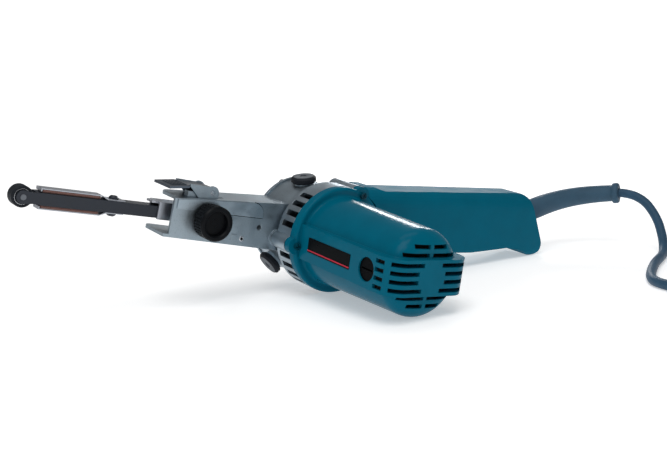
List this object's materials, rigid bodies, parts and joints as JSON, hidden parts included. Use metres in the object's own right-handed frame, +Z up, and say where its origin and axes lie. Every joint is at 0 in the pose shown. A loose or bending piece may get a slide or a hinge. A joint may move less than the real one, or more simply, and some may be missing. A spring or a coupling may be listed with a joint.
{
  "type": "power file",
  "caption": "Narrow hand-held belt sander with a long sprung arm in a cast head, a transverse electric motor, a straight handle, a trigger and a coiled mains cord.",
  "frame": {"origin": "middle of the tool's box without its cord, on the floor it lies on", "axes": "+X from the arm's tip to the handle's end, +Z up, +Y from the motor's end to the belt's side; the tool lies on its motor's collar and barrel and on the handle's heel"},
  "size_m": [0.6535, 0.3257, 0.1033],
  "materials": {
    "teal": "moulded, satin gloss",
    "cast_alloy": "die cast and tumbled",
    "steel": "bright",
    "arm_steel": "dark phosphate",
    "spring_steel": "rolled",
    "pad": "graphite felt on canvas",
    "knob_black": "moulded",
    "rubber_black": "moulded",
    "core_iron": "stacked sheets",
    "copper": "enamelled wire",
    "brass": "bright",
    "carbon": "carbon",
    "cord_rubber": "smooth",
    "tie_velvet": "woven"
  },
  "bodies": {
    "tool": {"motor_housing": "teal", "handle_shell": "teal", "handle_cover": "teal", "bearing_bracket": "cast_alloy", "head_frame": "cast_alloy", "head_panel": "cast_alloy", "belt_cover": "cast_alloy", "guide_rod": "steel", "tension_spring": "spring_steel", "lever_pin": "steel", "lever_ears": "cast_alloy", "lever_stop": "cast_alloy", "bumpers": "rubber_black", "bumper_screws": "steel", "front_bearing": "steel", "rear_bearing": "steel", "field_core": "core_iron", "field_coils": "copper", "fan_baffle": "knob_black", "brush_holders": "brass", "carbon_brushes": "carbon", "brush_caps": "knob_black", "housing_screws": "arm_steel", "handle_screws": "steel", "cover_screws": "steel", "switch_body": "knob_black", "cord_clamp": "knob_black", "cord_guard": "rubber_black", "mains_cord": "cord_rubber", "cord_coil": "cord_rubber", "cord_tie": "tie_velvet", "mains_plug": "cord_rubber", "plug_pins": "brass"},
    "arm": {"arm_bar": "arm_steel", "top_leaf": "spring_steel", "bottom_leaf": "spring_steel", "top_pad": "pad", "bottom_pad": "pad", "leaf_screws": "arm_steel", "roller_pin": "steel", "arm_carrier": "spring_steel", "carrier_pin": "steel"},
    "roller": {"front_roller": "rubber_black"},
    "drive": {"drive_pulley": "rubber_black", "pulley_nut": "steel", "motor_shaft": "steel", "armature_core": "core_iron", "armature_windings": "copper", "commutator": "copper", "cooling_fan": "knob_black"},
    "knob": {"tracking_knob": "knob_black", "knob_screw": "arm_steel"},
    "lever": {"release_lever": "arm_steel"},
    "trigger": {"trigger": "knob_black"}
  },
  "joints": [
    {"name": "arm_slide", "type": "slide", "parent": "tool", "child": "arm", "axis": [0.9771, 0.0209, -0.2115], "range_m": [0, 0.01], "stiffness_N_per_m": 1500, "springref_m": -0.008, "deforming": ["tension_spring"]},
    {"name": "roller_spin", "type": "hinge", "parent": "arm", "child": "roller", "pos_m": [-0.26803, 0.06088, 0.09542], "axis": [0, -0.9951, -0.0985], "continuous": true},
    {"name": "drive_spin", "type": "hinge", "parent": "tool", "child": "drive", "pos_m": [-0.0384, 0.0658, 0.04571], "axis": [0, -0.9951, -0.0985], "continuous": true},
    {"name": "knob_turn", "type": "hinge", "parent": "tool", "child": "knob", "pos_m": [-0.13709, 0.06369, 0.06707], "axis": [0, -0.9951, -0.0985], "range_deg": [-180, 180]},
    {"name": "lever_press", "type": "hinge", "parent": "tool", "child": "lever", "pos_m": [-0.12999, 0.06186, 0.08549], "axis": [0, -0.9951, -0.0985], "range_deg": [0, 4], "stiffness_Nm_per_rad": 1.2, "springref_deg": -6.88},
    {"name": "trigger_pull", "type": "slide", "parent": "tool", "child": "trigger", "axis": [0.1266, -0.0977, 0.9871], "range_m": [0, 0.004], "stiffness_N_per_m": 1000, "springref_m": -0.004}
  ]
}
